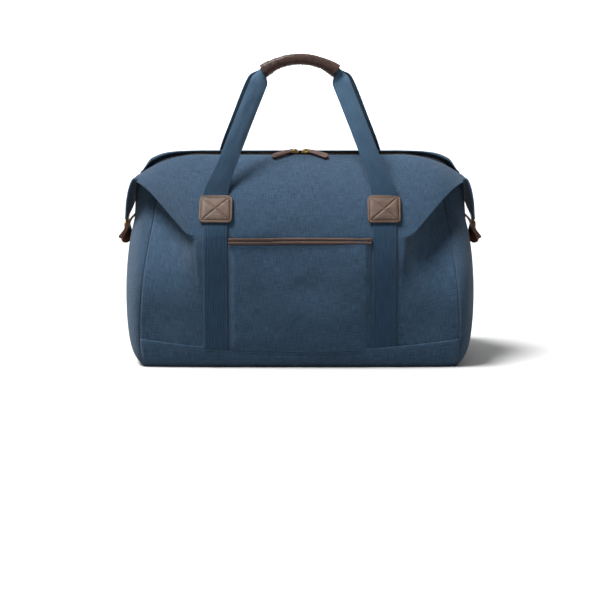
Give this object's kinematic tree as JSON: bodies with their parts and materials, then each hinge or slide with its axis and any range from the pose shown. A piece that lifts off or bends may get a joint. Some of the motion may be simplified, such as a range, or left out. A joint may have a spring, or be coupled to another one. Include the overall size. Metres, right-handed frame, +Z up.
{
  "type": "weekender bag",
  "caption": "Soft canvas weekender bag with webbing carry handles, leather grips and patches, a slip pocket, snap-down ends and a two-way top zip.",
  "frame": {"origin": "middle of the base, on the surface that the bag stands on", "axes": "+Z up, +X towards the right end seen from the front, -Y out of the front face with the slip pocket"},
  "size_m": [0.5668, 0.2688, 0.47],
  "materials": {
    "canvas": "washed navy cotton canvas, matt",
    "webbing": "navy cotton webbing, ribbed",
    "lining_cloth": "plain woven cotton lining",
    "zip_tape": "dark navy woven tape",
    "stiffener": "plain board",
    "trim_leather": "mid brown leather, light grain",
    "dark_leather": "dark brown leather, waxed",
    "pull_leather": "brown leather, folded",
    "brass": "antique brass"
  },
  "bodies": {
    "bag": {"base_board": "stiffener", "base_panel": "canvas", "front_left_patch": "trim_leather", "front_left_sewn_strap": "webbing", "front_panel": "canvas", "front_right_patch": "trim_leather", "front_right_sewn_strap": "webbing", "front_zip_tape": "zip_tape", "front_zip_teeth": "brass", "left_end_panel": "canvas", "left_end_tab": "trim_leather", "left_snap_stud": "brass", "lining": "lining_cloth", "pocket_trim": "dark_leather", "rear_left_patch": "trim_leather", "rear_left_sewn_strap": "webbing", "rear_panel": "canvas", "rear_right_patch": "trim_leather", "rear_right_sewn_strap": "webbing", "rear_zip_tape": "zip_tape", "rear_zip_teeth": "brass", "right_end_panel": "canvas", "right_end_tab": "trim_leather", "right_snap_stud": "brass", "slip_pocket": "canvas"},
    "front_handle": {"front_grip": "dark_leather", "front_grip_webbing": "webbing", "front_handle_left_strap": "webbing", "front_handle_right_strap": "webbing"},
    "rear_handle": {"rear_grip": "dark_leather", "rear_grip_webbing": "webbing", "rear_handle_left_strap": "webbing", "rear_handle_right_strap": "webbing"},
    "left_wing": {"left_wing": "canvas", "left_wing_zip_tape": "zip_tape", "left_wing_zip_teeth": "brass", "left_zip_end_stop": "brass", "left_wing_tab": "trim_leather", "left_snap_cap": "brass", "left_snap_socket": "brass"},
    "left_slider": {"left_slider": "brass"},
    "left_pull": {"left_pull_clip": "brass", "left_pull_tab": "pull_leather"},
    "right_wing": {"right_wing": "canvas", "right_wing_zip_tape": "zip_tape", "right_wing_zip_teeth": "brass", "right_zip_end_stop": "brass", "right_wing_tab": "trim_leather", "right_snap_cap": "brass", "right_snap_socket": "brass"},
    "right_slider": {"right_slider": "brass"},
    "right_pull": {"right_pull_clip": "brass", "right_pull_tab": "pull_leather"}
  },
  "joints": [
    {"name": "front_handle_swing", "type": "hinge", "parent": "bag", "child": "front_handle", "pos_m": [0, -0.09325, 0.258], "axis": [1, 0, 0], "range_deg": [0, 140]},
    {"name": "rear_handle_swing", "type": "hinge", "parent": "bag", "child": "rear_handle", "pos_m": [0, 0.09325, 0.258], "axis": [-1, 0, 0], "range_deg": [0, 140]},
    {"name": "left_wing_unsnap", "type": "hinge", "parent": "bag", "child": "left_wing", "pos_m": [-0.2598, 0, 0.2795], "axis": [0, 1, 0], "range_deg": [0, 105]},
    {"name": "right_wing_unsnap", "type": "hinge", "parent": "bag", "child": "right_wing", "pos_m": [0.2598, 0, 0.2795], "axis": [0, -1, 0], "range_deg": [0, 105]},
    {"name": "left_slider_run", "type": "slide", "parent": "bag", "child": "left_slider", "axis": [-1, 0, 0], "range_m": [0, 0.125]},
    {"name": "left_pull_lift", "type": "hinge", "parent": "left_slider", "child": "left_pull", "pos_m": [-0.0085, 0, 0.3251], "axis": [-0.5736, 0.8192, 0], "range_deg": [0, 80]},
    {"name": "right_slider_run", "type": "slide", "parent": "bag", "child": "right_slider", "axis": [1, 0, 0], "range_m": [0, 0.125]},
    {"name": "right_pull_lift", "type": "hinge", "parent": "right_slider", "child": "right_pull", "pos_m": [0.0085, 0, 0.3251], "axis": [-0.5736, -0.8192, 0], "range_deg": [0, 80]}
  ]
}
